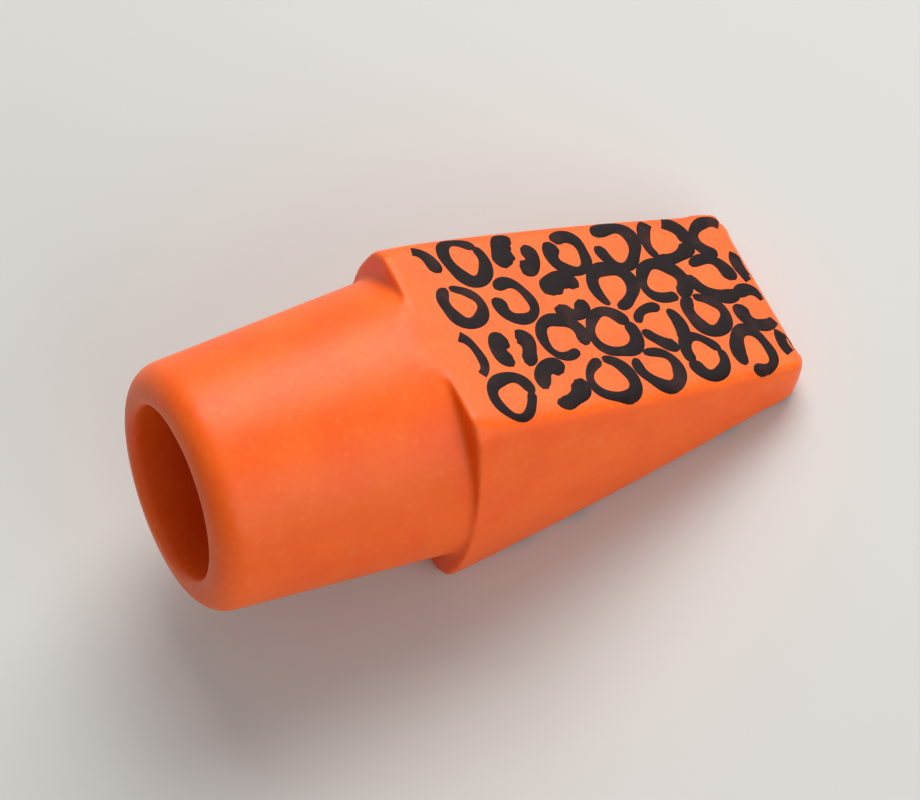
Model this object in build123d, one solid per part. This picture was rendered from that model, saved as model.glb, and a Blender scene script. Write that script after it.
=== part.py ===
from build123d import *
from math import atan, cos, degrees, sin, sqrt
import os

# Wedge-shaped rubber eraser cap that pushes onto the end of a pencil.
# Both of its broad faces carry a leopard print.
# It is modelled along its bore: x runs from the mouth to the tip, y across, z through the thickness.
# It is then laid down on its lower face, as a loose cap rests on a table.
# All sizes are in millimetres and degrees.

# Socket that takes the pencil
bore_radius = 3.5
bore_depth = 12.0
bore_floor_round = 0.8

# Collar round the socket
mouth_wall = 1.45
collar_flare = 0.65
collar_length = 10.3
lip_round_share = 0.8
rim_round_share = 0.18

# Wedge-shaped head, whose broad faces cut a little into the collar
# Each narrow side is part of a cone whose axis lies beyond the middle by the offset
# Next to the step the head's corners are trimmed round
step_height = 0.2
corner_step_height = 1.1
side_offset = 6.0
face_cut = 0.22
head_length = 15.7
tip_thickness = 1.9
tip_width = 8.0
tip_corner_round = 1.0
edge_round = 0.7

# Moulding gate mark on the far side of the collar
gate_place = 3.6
gate_length = 1.3
gate_width = 0.8
gate_height = 0.2

# Leopard print: staggered rows of broken rings and bars
ink_depth = 0.05
print_start = 1.35
print_margin = 0.1
row_count = 4
row_pitch = 2.0
row_sway = 0.06
row_shift_share = 0.5
spot_pitch = 2.35
first_spot_share = 0.42
spot_radius = 0.76
spot_change_share = 0.05
spot_turn_angle = 47
stroke_width = 0.46
stroke_change_share = 0.1
gap_angle = 52
bar_width = 0.72
bar_angle = 62
least_mark_area = 0.1

# Strokes of each spot in turn, where 0 stands for two bars
# Each row starts further on in that list than the one before it
spot_stroke_counts = (1, 0, 1, 1, 2, 1, 0, 1, 1, 3, 1)
row_skip_count = 5

# Sizes that follow from those above
mouth_radius = bore_radius + mouth_wall
lip_round = lip_round_share * mouth_wall
rim_round = rim_round_share * mouth_wall
collar_radius = mouth_radius + collar_flare
head_half_width = collar_radius + step_height
head_radius = head_half_width + side_offset
corner_radius = collar_radius + corner_step_height
face_height = collar_radius - face_cut
tip_half = tip_thickness / 2
tip_radius = tip_width / 2 + side_offset
total_length = collar_length + head_length
wedge_angle = atan((face_height - tip_half) / head_length)
face_length = head_length / cos(wedge_angle)
mouth_height = face_height + collar_length * (face_height - tip_half) / head_length
bore_line = Plane(origin=(0, 0, 0), z_dir=(1, 0, 0))
from_start = (Align.CENTER, Align.CENTER, Align.MIN)


def half_width(along):
    """Half the width of a broad face, this far along it from the step."""
    share = along / face_length
    radius = head_radius + (tip_radius - head_radius) * share
    height = face_height + (tip_half - face_height) * share
    return sqrt(radius**2 - height**2) - side_offset


def face_plane(side):
    """Plane of the upper (+1) or lower (-1) broad face: x towards the tip, z out of the rubber."""
    return Plane(
        origin=(collar_length, 0, side * face_height),
        x_dir=(cos(wedge_angle), 0, -side * sin(wedge_angle)),
        z_dir=(sin(wedge_angle), 0, side * cos(wedge_angle)),
    )


def make_blank():
    """Conical collar and a head with two narrow sides, both cut by the broad faces."""
    collar = bore_line * Cone(mouth_radius, collar_radius, collar_length, align=from_start)
    side = bore_line * Cone(head_radius, tip_radius, head_length, align=from_start)
    head = Pos(collar_length, side_offset, 0) * side & Pos(collar_length, -side_offset, 0) * side
    wedge = Plane.XZ * Polygon(
        (0, -mouth_height),
        (total_length, -tip_half),
        (total_length, tip_half),
        (0, mouth_height),
        align=None,
    )
    return (collar + head) & extrude(wedge, amount=head_half_width, both=True)


def round_edges(blank):
    """Round the tip's corners, the edges of both broad faces, the corners at the step, then the lip."""
    tip_edges = blank.faces().sort_by(Axis.X)[-1].edges().sort_by(Axis.Y)
    blank = fillet([tip_edges[0], tip_edges[-1]], tip_corner_round)
    for side in (1, -1):
        outward = face_plane(side).z_dir
        flats = blank.faces().filter_by(GeomType.PLANE)
        broad = max(flats, key=lambda flat: flat.normal_at().dot(outward))
        head_edges = [edge for edge in broad.edges() if edge.center().X > collar_length + edge_round]
        blank = fillet(head_edges, edge_round)
    blank &= bore_line * Cylinder(corner_radius, total_length, align=from_start)
    mouth_edge = blank.edges().filter_by(GeomType.CIRCLE).sort_by(Axis.X)[0]
    return fillet(mouth_edge, lip_round)


def make_bore():
    """The pencil's space, with a rounded floor."""
    bore = bore_line * Cylinder(bore_radius, bore_depth, align=from_start)
    return fillet(bore.edges().sort_by(Axis.X)[-1], bore_floor_round)


def make_gate_mark():
    """Small oval pip left where the rubber entered the mould."""
    surface = mouth_radius + collar_flare * gate_place / collar_length
    sunk = mouth_wall / 2
    foot = Plane(origin=(gate_place, surface - sunk, 0), x_dir=(1, 0, 0), z_dir=(0, 1, 0))
    return extrude(foot * Ellipse(gate_length / 2, gate_width / 2), amount=sunk + gate_height)


def make_cap():
    """The whole moulding: one piece of rubber."""
    cap = round_edges(make_blank()) + make_gate_mark() - make_bore()
    mouth = cap.faces().filter_by(GeomType.PLANE).sort_by(Axis.X)[0]
    rim = min(mouth.edges(), key=lambda edge: edge.radius)
    return fillet(rim, rim_round)


def print_field():
    """Flat part of a broad face that takes ink."""
    last = face_length - edge_round
    middle = (print_start + last) / 2
    border = edge_round + print_margin
    near = Spline(*[(along, half_width(along) - border) for along in (print_start, middle, last)])
    far = mirror(near, Plane.XZ)
    return make_face([near, far, Line(near @ 0, far @ 0), Line(near @ 1, far @ 1)])


def stroke(number, start, sweep, width):
    """Round-ended stroke of a broken ring; its size and weight vary from spot to spot."""
    radius = spot_radius * (1 + spot_change_share * sin(number))
    weight = width * (1 + stroke_change_share * cos(number + start))
    return SlotArc(CenterArc((0, 0), radius, start, sweep), weight)


def spot(number):
    """One to three strokes of a broken ring, or two short bars, chosen by the spot's number."""
    count = spot_stroke_counts[number % len(spot_stroke_counts)]
    turn = spot_turn_angle * number
    if count == 0:
        return [stroke(number, start, bar_angle, bar_width) for start in (turn, turn + 180)]
    sweep = 360 / count - gap_angle
    return [stroke(number, turn + 360 / count * part, sweep, stroke_width) for part in range(count)]


def spots():
    """All marks of one broad face, cut off at the edge of its flat part."""
    field = print_field()
    column_count = int(face_length / spot_pitch) + 1
    marks = []
    for row in range(row_count):
        for column in range(column_count):
            number = row_skip_count * row + column
            along = print_start + (column + first_spot_share - row_shift_share * (row % 2)) * spot_pitch
            across = (row - (row_count - 1) / 2) * row_pitch + row_sway * sin(2 * number)
            for mark in spot(number):
                marks += (Pos(along, across) * mark & field).faces()
    return [mark for mark in marks if mark.area > least_mark_area]


def make_print(side, marks):
    """Ink film let into the rubber, flush with the upper or lower broad face."""
    return Compound([extrude(face_plane(side) * mark, amount=-ink_depth) for mark in marks])


marks = spots()
upper_print = make_print(1, marks)
lower_print = make_print(-1, marks)
cap = make_cap() - upper_print - lower_print

lay_down = Rot(0, degrees(wedge_angle), 0)
box = (lay_down * cap).bounding_box()
to_origin = Pos(-box.center().X, -box.center().Y, -box.min.Z)
pieces = {"eraser_cap": cap, "upper_print": upper_print, "lower_print": lower_print}

os.makedirs("parts", exist_ok=True)
for name, piece in pieces.items():
    export_step(to_origin * lay_down * piece, f"parts/{name}.step")
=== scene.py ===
# %% [markdown]
# # A leopard-print eraser cap
# The object is a small wedge of soft orange rubber that pushes onto the end of a pencil.
# A round collar holds the socket, a shallow step follows, and two flat faces run to a thin tip.
# Both flat faces carry a leopard print in dark ink.
# The CAD model gives the place and the size.
# Here the rubber gets its soft edges and the ink its brush-like strokes.

from math import atan, atan2, cos, degrees, hypot, pi, radians, sin, sqrt

import bpy
from mathutils import Euler, Matrix, Vector


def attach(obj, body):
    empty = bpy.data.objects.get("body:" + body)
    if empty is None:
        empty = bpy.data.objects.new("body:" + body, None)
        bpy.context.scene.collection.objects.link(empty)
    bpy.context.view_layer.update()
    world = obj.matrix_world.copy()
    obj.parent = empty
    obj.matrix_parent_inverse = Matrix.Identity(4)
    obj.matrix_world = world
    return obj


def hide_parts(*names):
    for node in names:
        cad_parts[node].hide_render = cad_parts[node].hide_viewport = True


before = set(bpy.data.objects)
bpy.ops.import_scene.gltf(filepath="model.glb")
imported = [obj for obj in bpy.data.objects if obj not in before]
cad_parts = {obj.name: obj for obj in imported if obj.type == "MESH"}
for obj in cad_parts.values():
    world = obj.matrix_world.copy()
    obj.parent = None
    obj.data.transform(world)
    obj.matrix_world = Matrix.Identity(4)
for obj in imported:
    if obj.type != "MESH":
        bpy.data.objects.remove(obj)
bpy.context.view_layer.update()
print("CAD nodes:", sorted(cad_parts))

# %% [markdown]
# ## Measures
# All measures of the cap are in millimetres and turn into metres where they are used.
# They are the CAD model's own, so that each piece lies where its solid lies.
# The cap is modelled along its bore and laid down at the end.
# Until then x runs from the mouth to the tip, y across and z through the thickness.

# %% Sizes of the cap
MM = 0.001
bore_radius, bore_depth, bore_floor_round = 3.5, 12.0, 0.8
mouth_radius, rim_round, lip_round = 4.95, 0.261, 1.16
collar_radius, collar_length = 5.6, 10.3
head_half_width, tip_half_width, side_offset = 5.8, 4.0, 6.0
corner_radius = 6.7
face_height, tip_half, head_length = 5.38, 0.95, 15.7
total_length = collar_length + head_length
wedge_angle = atan((face_height - tip_half) / head_length)
face_length = head_length / cos(wedge_angle)
mouth_place = Vector((-12.036, 0, 7.975)) * MM
laid_down = Matrix.Translation(mouth_place) @ Matrix.Rotation(wedge_angle, 4, "Y")
print(f"length {total_length:.1f} mm, lean of each face {degrees(wedge_angle):.1f} degrees")

# %% [markdown]
# ## The lathe work
# On the real cap a round mould and a core pin shape the collar and the socket.
# A spun profile would give the same surface.
# A circle that is extruded and scaled ring by ring shows each step, so that way is taken.
# It starts on the socket's floor, climbs the bore, turns over the lip and runs out to the tip.
# The tip gets a little spare length, because smoothing will take that much off again.

# %% Profile of the rings
def arc(centre, radius, start, end, steps):
    """Points of a rounded corner in the profile, as places along the bore and radii."""
    turns = [radians(start + (end - start) * step / steps) for step in range(steps + 1)]
    return [(centre[0] + radius * cos(turn), centre[1] + radius * sin(turn)) for turn in turns]


collar_slope = (collar_radius - mouth_radius) / collar_length
bore_floor_centre = (bore_depth - bore_floor_round, bore_radius - bore_floor_round)
rim_centre = (rim_round, bore_radius + rim_round)
lip_centre = (lip_round, mouth_radius + collar_slope * lip_round - lip_round)
ridge_width, ridge_height = 0.25, 0.06
head_ring_gap, head_ring_count = 1.2, 5
tip_spare = 0.1
rings = arc(bore_floor_centre, bore_floor_round, 0, 90, steps=6)
rings += arc(rim_centre, rim_round, 270, 180, steps=5)
rings += arc(lip_centre, lip_round, 180, 90, steps=8)
rings += [(collar_length, collar_radius), (collar_length, head_half_width)]
rings += [(collar_length + ridge_width, head_half_width)]
for step in range(1, head_ring_count + 1):
    rings += [(collar_length + head_ring_gap * step, head_half_width)]
rings += [(total_length + tip_spare, tip_half_width)]
print("rings in the profile:", len(rings))

# %% Extrude the rings
bpy.ops.object.select_all(action="DESELECT")
start_place, start_radius = rings[0]
bpy.ops.mesh.primitive_circle_add(
    vertices=180,
    radius=start_radius * MM,
    fill_type="NGON",
    location=(start_place * MM, 0, 0),
    rotation=(0, pi / 2, 0),
)
cap = bpy.context.object
cap.name = "rubber_cap"
bpy.ops.object.transform_apply(location=True, rotation=True, scale=True)
bpy.ops.object.mode_set(mode="EDIT")
bpy.ops.mesh.select_mode(type="EDGE")
bpy.ops.mesh.select_all(action="SELECT")
for (place, radius), (next_place, next_radius) in zip(rings, rings[1:]):
    shift = ((next_place - place) * MM, 0, 0)
    bpy.ops.mesh.extrude_edges_move(TRANSFORM_OT_translate={"value": shift})
    grow = next_radius / radius
    bpy.ops.transform.resize(value=(1, grow, grow), center_override=(next_place * MM, 0, 0))
bpy.ops.mesh.edge_face_add()
bpy.ops.mesh.select_all(action="SELECT")
bpy.ops.mesh.normals_make_consistent(inside=False)
bpy.ops.object.mode_set(mode="OBJECT")
print("vertices after the lathe work:", len(cap.data.vertices))

# %% [markdown]
# ## The narrow sides
# The head's narrow sides are flatter than the collar, so its corners stand out at the step.
# Each side is part of a cone whose axis lies beyond the middle.
# A round trims the corners next to the step.
# Each point of the head moves out along its own direction until it meets the nearer of the two.
# Where the two halves of the mould meet, at the step, a little rubber squeezes out.
# That leaves a fine ridge.

# %% Shape the narrow sides
def side_reach(along, turn):
    """Distance from the bore's line to the narrow side, this far along and in this direction."""
    share = (along - collar_length) / head_length
    radius = head_half_width + (tip_half_width - head_half_width) * share + side_offset
    ridge = ridge_height * max(0, 1 - (along - collar_length) / ridge_width)
    side = sqrt(radius**2 - (side_offset * sin(turn)) ** 2) - side_offset * abs(cos(turn))
    return min(side, corner_radius) + ridge


margin = 0.1
moved = 0
for vertex in cap.data.vertices:
    place, across, height = vertex.co / MM
    if place > bore_depth + margin or hypot(across, height) > collar_radius + margin:
        turn = atan2(height, across)
        reach = side_reach(place, turn)
        vertex.co = Vector((place, reach * cos(turn), reach * sin(turn))) * MM
        moved += 1
print("points moved out to the narrow sides:", moved)

# %% [markdown]
# ## The two flat faces
# The broad faces of the wedge cut the round blank, and even shave the collar next to the step.
# A bisect with fill does that in one go for each face, as a wire cuts clay.
# Its own threshold is a tenth of a millimetre, which is too coarse for so small a piece.
# So a finer one is set.
# The two upright corners of the tip are rounded after that, with a bevel on the few edges there.

# %% Cut the flat faces
cut_threshold = 0.001
bpy.ops.object.mode_set(mode="EDIT")
for side in (1, -1):
    bpy.ops.mesh.select_all(action="SELECT")
    bpy.ops.mesh.bisect(
        plane_co=(collar_length * MM, 0, side * face_height * MM),
        plane_no=(sin(wedge_angle), 0, side * cos(wedge_angle)),
        threshold=cut_threshold * MM,
        use_fill=True,
        clear_outer=True,
    )
bpy.ops.mesh.select_all(action="DESELECT")
bpy.ops.object.mode_set(mode="OBJECT")
print("faces after the cuts:", len(cap.data.polygons))

# %% Round the tip's corners
tip_corner_round = 1.0
end_slack, side_slack = 0.01, 0.2
for edge in cap.data.edges:
    ends = [cap.data.vertices[index].co / MM for index in edge.vertices]
    at_end = all(end.x > total_length + tip_spare - end_slack for end in ends)
    at_side = all(abs(end.y) > tip_half_width - side_slack for end in ends)
    edge.select = at_end and at_side
bpy.ops.object.mode_set(mode="EDIT")
bpy.ops.mesh.bevel(offset=tip_corner_round * MM, segments=6, affect="EDGES")
bpy.ops.object.mode_set(mode="OBJECT")
print("faces with rounded tip corners:", len(cap.data.polygons))

# %% [markdown]
# ## The gate mark
# A small oval pip on the collar's side shows where the rubber entered the mould.
# It is a flattened ball that sinks into the collar; the remesh in the next step joins the two.

# %% Add the gate mark
gate_place, gate_sunk = 3.6, 0.05
gate_half_sizes = (0.68, 0.28, 0.43)
gate_surface = mouth_radius + collar_slope * gate_place
bpy.ops.object.select_all(action="DESELECT")
bpy.ops.mesh.primitive_uv_sphere_add(
    segments=32,
    ring_count=16,
    radius=MM,
    location=(gate_place * MM, (gate_surface - gate_sunk) * MM, 0),
)
gate = bpy.context.object
gate.scale = gate_half_sizes
bpy.ops.object.transform_apply(location=True, rotation=True, scale=True)
cap.select_set(True)
bpy.context.view_layer.objects.active = cap
bpy.ops.object.join()
print("vertices with the gate mark:", len(cap.data.vertices))

# %% [markdown]
# ## Soft edges
# Moulded rubber has no sharp edge: every corner is a little round, and so is the step's groove.
# A bevel on so many short edges would tangle, so the shape is remeshed evenly and then smoothed.
# The head is the softest and the step is the crispest, so the smoothing reads a vertex group.
# In the middle of each flat face the step runs out.
# There the collar and the head flow into each other.

# %% Remesh the rubber
def select_only(piece):
    """Select this piece alone and make it the active one."""
    bpy.ops.object.select_all(action="DESELECT")
    piece.select_set(True)
    bpy.context.view_layer.objects.active = piece


def apply_modifier(piece, kind, **settings):
    """Add a modifier, set it and apply it."""
    select_only(piece)
    bpy.ops.object.modifier_add(type=kind)
    modifier = piece.modifiers[-1]
    for name, value in settings.items():
        setattr(modifier, name, value)
    bpy.ops.object.modifier_apply(modifier=modifier.name)


voxel_size = 0.09
apply_modifier(cap, "REMESH", mode="VOXEL", voxel_size=voxel_size * MM)
print("faces after the remesh:", len(cap.data.polygons))

# %% Where the rubber is soft
collar_softness, corner_softness, tip_softness = 0.1, 0.25, 0.35
corner_across, corner_height = 2.5, 3.0
soft_start, soft_rise = 0.35, 0.8
tip_zone = 1.5
flow_zone, flow_half_width, flow_wall = 3.0, 2.2, 1.0


def clamp(value):
    """The value, kept between 0 and 1."""
    return min(1, max(0, value))


def softness_at(place, across, height):
    """How far the smoothing may move a point of the rubber, from 0 to 1."""
    from_step = place - collar_length
    softness = collar_softness
    if from_step > 0:
        corner = clamp(abs(across) - corner_across) * clamp(abs(height) - corner_height)
        rise = max(0, from_step - soft_start) * soft_rise
        softness = clamp(collar_softness + corner_softness * corner + rise)
    if from_step > head_length - tip_zone:
        softness = tip_softness
    if abs(from_step) < flow_zone and abs(height) > bore_radius + flow_wall:
        softness = max(softness, 1 - abs(across) / flow_half_width)
    return softness


soft = cap.vertex_groups.new(name="soft")
for vertex in cap.data.vertices:
    soft.add([vertex.index], softness_at(*(vertex.co / MM)), "REPLACE")
print("points in the soft group:", len(cap.data.vertices))

# %% Smooth the rubber
apply_modifier(cap, "SMOOTH", factor=0.5, iterations=150, vertex_group="soft")
apply_modifier(cap, "DECIMATE", ratio=0.5)
cap.vertex_groups.clear()
bpy.ops.object.shade_smooth()
print("faces of the finished rubber:", len(cap.data.polygons))

# %% [markdown]
# ## The leopard print
# A leopard print is rows of uneven rings, some closed and some broken, with bars between them.
# A soft pad presses the ink on in one go.
# So it is a film with uneven outlines that also wraps over soft edges.
# A curve with a radius at each point gives such strokes.
# They are flattened and dropped onto the rubber.
# The pad starts a little behind the step, narrows with the face and ends just short of the tip.
# It presses harder towards the tip, and the strokes are fuller there.

# %% Where the spots lie
pad_start, pad_end = 1.35, face_length - 0.4
pad_half_start, pad_half_end = 4.5, 3.75
row_count, row_pitch, row_sway, sway_phase = 4, 2.2, 0.14, 2
spot_pitch, first_spot, row_shift = 2.35, 0.42, 0.5


def pad_half(along):
    """Half the width of the printing pad, this far along the face from the step."""
    share = (along - pad_start) / (pad_end - pad_start)
    return pad_half_start + (pad_half_end - pad_half_start) * share


# Each row starts further on in the list of spots than the one before it
row_skip = 5


def spot_places(first_number):
    """Number, place along the face and place across it of each spot."""
    columns = int(face_length / spot_pitch) + 1
    for row in range(row_count):
        for column in range(columns):
            number = first_number + row_skip * row + column
            along = pad_start + (column + first_spot - row_shift * (row % 2)) * spot_pitch
            sway = row_sway * sin(sway_phase * number)
            across = (row - (row_count - 1) / 2) * row_pitch + sway
            yield number, along, across * pad_half(along) / pad_half_start


print("spots on each face:", len(list(spot_places(0))))

# %% One stroke
size_change, oval_share, oval_change, oval_phase = 0.07, 1.1, 0.1, 1.7
slow_wobble, fast_wobble = 0.07, 0.06
slow_swell, fast_swell = 0.2, 0.1
least_fullness = 0.2
step_angle, least_steps = 15, 5


def stroke_shares(sweep, end):
    """Shares of a stroke's length at which it has points, closer together at its round ends."""
    count = max(least_steps, int(sweep / step_angle))
    middle = [end + (1 - 2 * end) * step / count for step in range(count + 1)]
    return [0, end / 4, end / 2] + middle + [1 - end / 2, 1 - end / 4, 1]


def stroke_points(number, radius, width, start, sweep):
    """Places and half widths along one stroke, round-ended and uneven as a brush leaves it."""
    radius *= 1 + size_change * sin(number)
    oval = oval_share + oval_change * sin(oval_phase * number)
    end = width / 2 / (radius * radians(sweep))
    points = []
    for share in stroke_shares(sweep, end):
        turn = radians(start + sweep * share)
        wobble = slow_wobble * sin(2 * turn + number) + fast_wobble * sin(3 * turn + 2 * number)
        swell = slow_swell * sin(turn + number) + fast_swell * sin(4 * turn + 3 * number)
        into_end = max(0, 1 - min(share, 1 - share) / end)
        fullness = sqrt(max(least_fullness, 1 - into_end**2))
        reach = radius * (1 + wobble)
        half = width / 2 * fullness * (1 + swell)
        points.append((reach * cos(turn), reach * oval * sin(turn), half))
    return points


example = stroke_points(0, radius=1.0, width=0.5, start=0, sweep=90)
print("points along a quarter of a ring:", len(example))

# %% Strokes of one spot
ring_radius, ring_width, ring_gaps = 0.85, 0.5, (-4, 18, 6, 28)
bar_radius, bar_width, bar_sweep = 0.72, 0.74, 140
spot_turn = 47
# Strokes of each spot in turn, where 0 stands for two bars
spot_strokes = (1, 0, 1, 1, 2, 1, 0, 1, 1, 3, 1)


def spot_shapes(number):
    """All strokes of a spot, as lists of places and half widths round its centre."""
    count = spot_strokes[number % len(spot_strokes)]
    radius, width = ring_radius, ring_width
    if count == 0:
        count, radius, width, sweep = 2, bar_radius, bar_width, bar_sweep
    else:
        sweep = 360 / count - ring_gaps[number % len(ring_gaps)]
    starts = [spot_turn * number + 360 / count * part for part in range(count)]
    return [stroke_points(number, radius, width, start, sweep) for start in starts]


print("strokes in the first spots:", [len(spot_shapes(number)) for number in range(4)])

# %% Where the pad presses
pad_corner, pad_corner_slope = 3.4, 0.5
least_points = 7
press_along, press_across = 0.2, 0.02


def pressure(along, across):
    """How much fuller strokes are, since the pad presses harder towards the tip and one edge."""
    return (1 + press_along * along / face_length) * (1 + press_across * across)


def on_pad(points):
    """The stretches of a stroke that lie on the printing pad, without mere specks."""
    stretches = [[]]
    for along, across, half in points:
        limit = min(pad_half(along), pad_corner + pad_corner_slope * along)
        if pad_start < along < pad_end and abs(across) < limit:
            stretches[-1].append((along, across, half))
        elif stretches[-1]:
            stretches.append([])
    return [stretch for stretch in stretches if len(stretch) >= least_points]


print("fullness at the tip:", round(pressure(face_length, 0), 2))

# %% Draw a print and flatten it
film_share = 0.08


def add_stroke(curve, stretch):
    """One stroke as a spline of the curve, with its half width as the radius at each point."""
    spline = curve.splines.new("NURBS")
    spline.points.add(len(stretch) - 1)
    for point, (along, across, half) in zip(spline.points, stretch):
        point.co = (along * MM, across * MM, 0, 1)
        point.radius = half * pressure(along, across)
    spline.order_u = 3
    spline.use_endpoint_u = True


def draw_print(name, first_number):
    """A face's strokes as a flat mesh: x along the face from the step, y across, z outwards."""
    curve = bpy.data.curves.new(name, "CURVE")
    curve.dimensions = "3D"
    curve.bevel_depth = MM
    curve.bevel_resolution = 2
    curve.use_fill_caps = True
    curve.resolution_u = 3
    for number, along, across in spot_places(first_number):
        for shape in spot_shapes(number):
            for stretch in on_pad([(along + x, across + y, half) for x, y, half in shape]):
                add_stroke(curve, stretch)
    piece = bpy.data.objects.new(name, curve)
    bpy.context.scene.collection.objects.link(piece)
    select_only(piece)
    bpy.ops.object.convert(target="MESH")
    piece = bpy.context.object
    bpy.ops.object.mode_set(mode="EDIT")
    bpy.ops.mesh.select_all(action="SELECT")
    bpy.ops.transform.resize(value=(1, 1, film_share), center_override=(0, 0, 0))
    bpy.ops.mesh.normals_make_consistent(inside=False)
    bpy.ops.mesh.faces_shade_flat()
    bpy.ops.object.mode_set(mode="OBJECT")
    return piece


upper_ink = draw_print("upper_ink", first_number=0)
lower_ink = draw_print("lower_ink", first_number=3)
print("faces drawn:", len(upper_ink.data.polygons), len(lower_ink.data.polygons))

# %% [markdown]
# ## Dropping the print
# The film is still flat, but the rubber under it has soft edges.
# Each point of the film falls along the face's normal until it meets the rubber.
# It keeps its own height there.

# %% Drop the print on the rubber
drop_height = 3.0


def drop_print(piece, side):
    """Let each point of the film fall onto the upper (+1) or lower (-1) face of the cap."""
    along = Vector((cos(wedge_angle), 0, -side * sin(wedge_angle)))
    outward = Vector((sin(wedge_angle), 0, side * cos(wedge_angle)))
    across = outward.cross(along)
    step = Vector((collar_length, 0, side * face_height)) * MM
    missed = 0
    for vertex in piece.data.vertices:
        flat = step + along * vertex.co.x + across * vertex.co.y
        hit, place, _, _ = cap.ray_cast(flat + outward * drop_height * MM, -outward)
        missed += not hit
        vertex.co = (place if hit else flat) + outward * vertex.co.z
    return missed


for piece, side in ((upper_ink, 1), (lower_ink, -1)):
    print(piece.name, "points that missed the rubber:", drop_print(piece, side))

# %% [markdown]
# ## Laying down
# A loose cap rests on one of its flat faces, so the meshes are turned and moved to lie there.
# The objects themselves stay at the origin.
# Each piece names its body, the CAD node that it stands in for, and its material slot.

# %% Lay the pieces down
for piece, node, slot in (
    (cap, "eraser_cap", "rubber"),
    (upper_ink, "upper_print", "ink"),
    (lower_ink, "lower_print", "ink"),
):
    piece.data.transform(laid_down)
    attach(piece, "root")
    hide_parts(node)
    corners = [[round(value / MM, 2) for value in piece.bound_box[corner]] for corner in (0, 6)]
    print(piece.name, "box in mm:", corners)

# %% [markdown]
# ## Finishes
# Colours are written as sRGB hex values, as a paint shop writes them.
# One function turns them to linear light.
# One small function adds a node, sets it and links it.

# %% Helpers for materials
def linear(code):
    """Linear RGBA of an sRGB hex colour."""
    shares = [int(code[start : start + 2], 16) / 255 for start in (1, 3, 5)]
    colour = [
        share / 12.92 if share <= 0.04045 else ((share + 0.055) / 1.055) ** 2.4
        for share in shares
    ]
    return colour + [1]


def add_node(tree, kind, settings=None, links=None):
    """A node with its settings, which are sockets or properties, and its links from sockets."""
    node = tree.nodes.new(kind)
    for name, value in (settings or {}).items():
        if isinstance(name, int) or name in node.inputs:
            node.inputs[name].default_value = value
        else:
            setattr(node, name, value)
    for name, source in (links or {}).items():
        tree.links.new(source, node.inputs[name])
    return node


def new_material(name):
    """An empty node material and its tree."""
    material = bpy.data.materials.new(name)
    material.use_nodes = True
    material.node_tree.nodes.clear()
    return material, material.node_tree


print("middle grey in linear light:", [round(value, 3) for value in linear("#808080")])

# %% [markdown]
# ## Moulded thermoplastic rubber
# The rubber is soft and slightly see-through, so light bleeds a little below the surface.
# Its skin took the mould's fine grain, which breaks the shine into a broad, dull sheen.
# A faint cloudiness in the colour and a few pale specks of dust keep it from looking like paint.
# The real grain is too fine to show in a render, so it is drawn 0.2 mm wide.

# %% Patterns in the rubber
rubber, tree = new_material("moulded_rubber")
cloud_width, grain_width, speck_width = 2.5, 0.2, 0.3
coordinates = add_node(tree, "ShaderNodeTexCoord").outputs["Object"]
cloud = add_node(
    tree,
    "ShaderNodeTexNoise",
    {"Scale": 1 / (cloud_width * MM), "Detail": 3.0, "Roughness": 0.6},
    {"Vector": coordinates},
)
grain = add_node(
    tree,
    "ShaderNodeTexNoise",
    {"Scale": 1 / (grain_width * MM), "Detail": 2.0},
    {"Vector": coordinates},
)
dust = add_node(
    tree,
    "ShaderNodeTexNoise",
    {"Scale": 1 / (speck_width * MM), "Detail": 1.0},
    {"Vector": coordinates},
)
print("pattern widths in mm:", cloud_width, grain_width, speck_width)

# %% Colour of the rubber
cloud_share = add_node(
    tree,
    "ShaderNodeMapRange",
    {"From Min": 0.35, "From Max": 0.65},
    {"Value": cloud.outputs["Fac"]},
)
body_colour = add_node(
    tree,
    "ShaderNodeMix",
    {"data_type": "RGBA", 6: linear("#F05A09"), 7: linear("#F46410")},
    {0: cloud_share.outputs[0]},
)
dust_share = add_node(
    tree,
    "ShaderNodeMapRange",
    {"From Min": 0.6, "From Max": 0.8, "To Max": 0.1},
    {"Value": dust.outputs["Fac"]},
)
dusty_colour = add_node(
    tree,
    "ShaderNodeMix",
    {"data_type": "RGBA", 7: linear("#F9A878")},
    {0: dust_share.outputs[0], 6: body_colour.outputs[2]},
)
print("nodes for the rubber's patterns and colour:", len(tree.nodes))

# %% Surface of the rubber
grain_depth, bleed_depth = 0.02, 0.8
rough = add_node(
    tree,
    "ShaderNodeMapRange",
    {"To Min": 0.4, "To Max": 0.52},
    {"Value": grain.outputs["Fac"]},
)
bump = add_node(
    tree,
    "ShaderNodeBump",
    {"Strength": 0.3, "Distance": grain_depth * MM},
    {"Height": grain.outputs["Fac"]},
)
shader = add_node(
    tree,
    "ShaderNodeBsdfPrincipled",
    {
        "IOR": 1.5,
        "Specular IOR Level": 0.34,
        "Subsurface Weight": 0.2,
        "Subsurface Radius": (1.0, 0.3, 0.1),
        "Subsurface Scale": bleed_depth * MM,
    },
    {
        "Base Color": dusty_colour.outputs[2],
        "Roughness": rough.outputs[0],
        "Normal": bump.outputs[0],
    },
)
add_node(tree, "ShaderNodeOutputMaterial", links={"Surface": shader.outputs[0]})
cap.data.materials.clear()
cap.data.materials.append(rubber)
print("rubber nodes:", len(tree.nodes))

# %% [markdown]
# ## Pad-printing ink
# The ink is a thin, dull vinyl film, almost black with some brown.
# Where the pad pressed lightly the film is thinner and paler, so a soft noise varies the colour.

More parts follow.
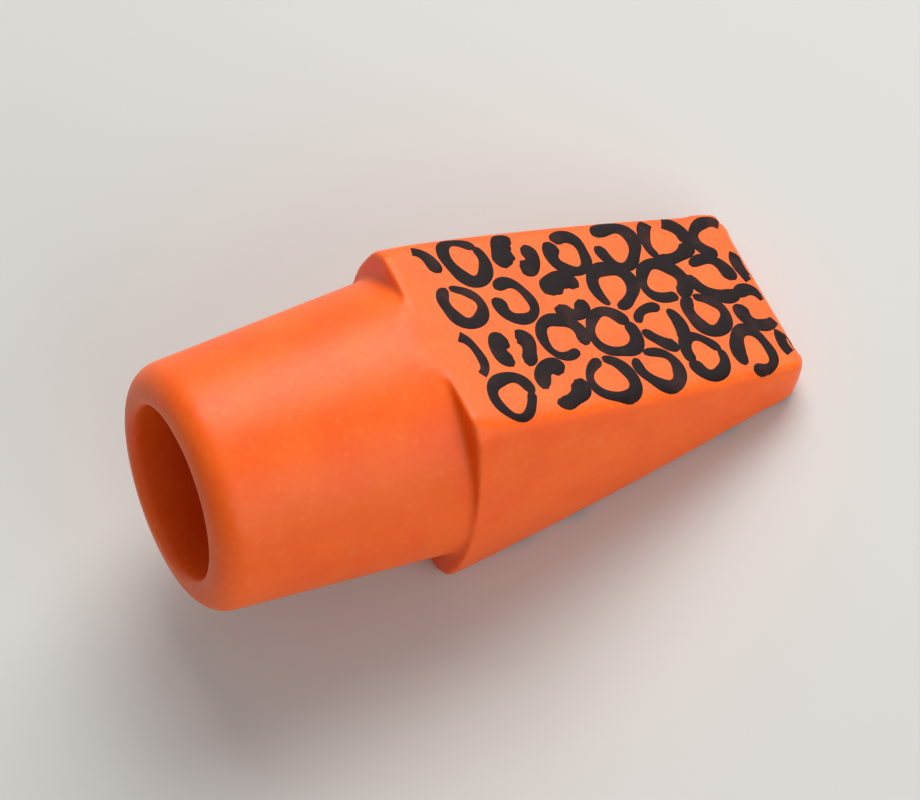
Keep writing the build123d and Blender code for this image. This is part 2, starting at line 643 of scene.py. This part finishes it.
# %% Ink material
ink, tree = new_material("pad_printing_ink")
patch_width = 1.2
coordinates = add_node(tree, "ShaderNodeTexCoord").outputs["Object"]
patch = add_node(
    tree,
    "ShaderNodeTexNoise",
    {"Scale": 1 / (patch_width * MM), "Detail": 3.0},
    {"Vector": coordinates},
)
thin = add_node(
    tree,
    "ShaderNodeMapRange",
    {"From Min": 0.5, "From Max": 0.75},
    {"Value": patch.outputs["Fac"]},
)
film = add_node(
    tree,
    "ShaderNodeMix",
    {"data_type": "RGBA", 6: linear("#170A0B"), 7: linear("#38211E")},
    {0: thin.outputs[0]},
)
rough = add_node(
    tree,
    "ShaderNodeMapRange",
    {"To Min": 0.5, "To Max": 0.7},
    {"Value": patch.outputs["Fac"]},
)
shader = add_node(
    tree,
    "ShaderNodeBsdfPrincipled",
    {"IOR": 1.48, "Specular IOR Level": 0.15},
    {"Base Color": film.outputs[2], "Roughness": rough.outputs[0]},
)
add_node(tree, "ShaderNodeOutputMaterial", links={"Surface": shader.outputs[0]})
for piece in (upper_ink, lower_ink):
    piece.data.materials.clear()
    piece.data.materials.append(ink)
print("ink nodes:", len(tree.nodes))

# %% [markdown]
# ## Floor and light
# A pale sheet of card carries the cap, just below the lower print.
# A soft key lamp stands high on the far side beyond the tip, so that the upper side shines softly.
# A wide fill lamp stands on the near side and keeps that side's colour full.
# A weak third lamp, low beyond the tip, brings out the dull sheen of the flat face.

# %% Floor
floor_drop = 0.06
bpy.ops.object.select_all(action="DESELECT")
bpy.ops.mesh.primitive_plane_add(size=2.0, location=(0, 0, -floor_drop * MM))
floor = bpy.context.object
floor.name = "floor"
card, tree = new_material("pale_card")
shader = add_node(
    tree, "ShaderNodeBsdfPrincipled", {"Base Color": linear("#CBC9C5"), "Roughness": 0.9}
)
add_node(tree, "ShaderNodeOutputMaterial", links={"Surface": shader.outputs[0]})
floor.data.materials.append(card)
print("floor at", round(floor.location.z / MM, 2), "mm")

# %% Lamps and sky
lamp_target = Vector((0, 0, 0.005))


def add_lamp(name, place, size, watts):
    """A square area lamp that looks at the cap; its place and size are in metres."""
    lamp = bpy.data.lights.new(name, "AREA")
    lamp.size = size
    lamp.energy = watts
    holder = bpy.data.objects.new(name, lamp)
    holder.location = place
    holder.rotation_euler = (lamp_target - Vector(place)).to_track_quat("-Z", "Y").to_euler()
    bpy.context.scene.collection.objects.link(holder)


add_lamp("key", place=(0.13, 0.14, 0.22), size=0.2, watts=0.85)
add_lamp("fill", place=(0.08, -0.25, 0.14), size=0.25, watts=0.45)
add_lamp("kicker", place=(0.25, 0.14, 0.095), size=0.16, watts=0.15)
world = bpy.data.worlds.new("studio")
bpy.context.scene.world = world
world.use_nodes = True
tree = world.node_tree
tree.nodes.clear()
sky = add_node(tree, "ShaderNodeBackground", {"Color": linear("#FFFFFF"), "Strength": 0.28})
add_node(tree, "ShaderNodeOutputWorld", links={"Surface": sky.outputs[0]})
print("lamps:", len(bpy.data.lights))

# %% [markdown]
# ## Camera
# A long lens looks down on the upper face from the near side.
# It is turned so that the tip points up to the right.

# %% Camera
azimuth, elevation, roll = radians(-12.65), radians(62), radians(14.5)
camera_distance = 0.22
middle = Vector((0, 0, 4.5)) * MM
back = Vector((sin(azimuth) * cos(elevation), -cos(azimuth) * cos(elevation), sin(elevation)))
camera_data = bpy.data.cameras.new("camera")
camera_data.lens = 220
camera_data.clip_start = 0.01
camera_data.clip_end = 10
camera = bpy.data.objects.new("camera", camera_data)
bpy.context.scene.collection.objects.link(camera)
camera.location = middle + back * camera_distance
look = (-back).to_track_quat("-Z", "Y")
camera.rotation_mode = "QUATERNION"
camera.rotation_quaternion = look @ Euler((0, 0, -roll)).to_quaternion()
bpy.context.scene.camera = camera
bpy.context.scene.view_settings.view_transform = "Standard"
print("camera distance in mm:", round((camera.location - middle).length / MM))
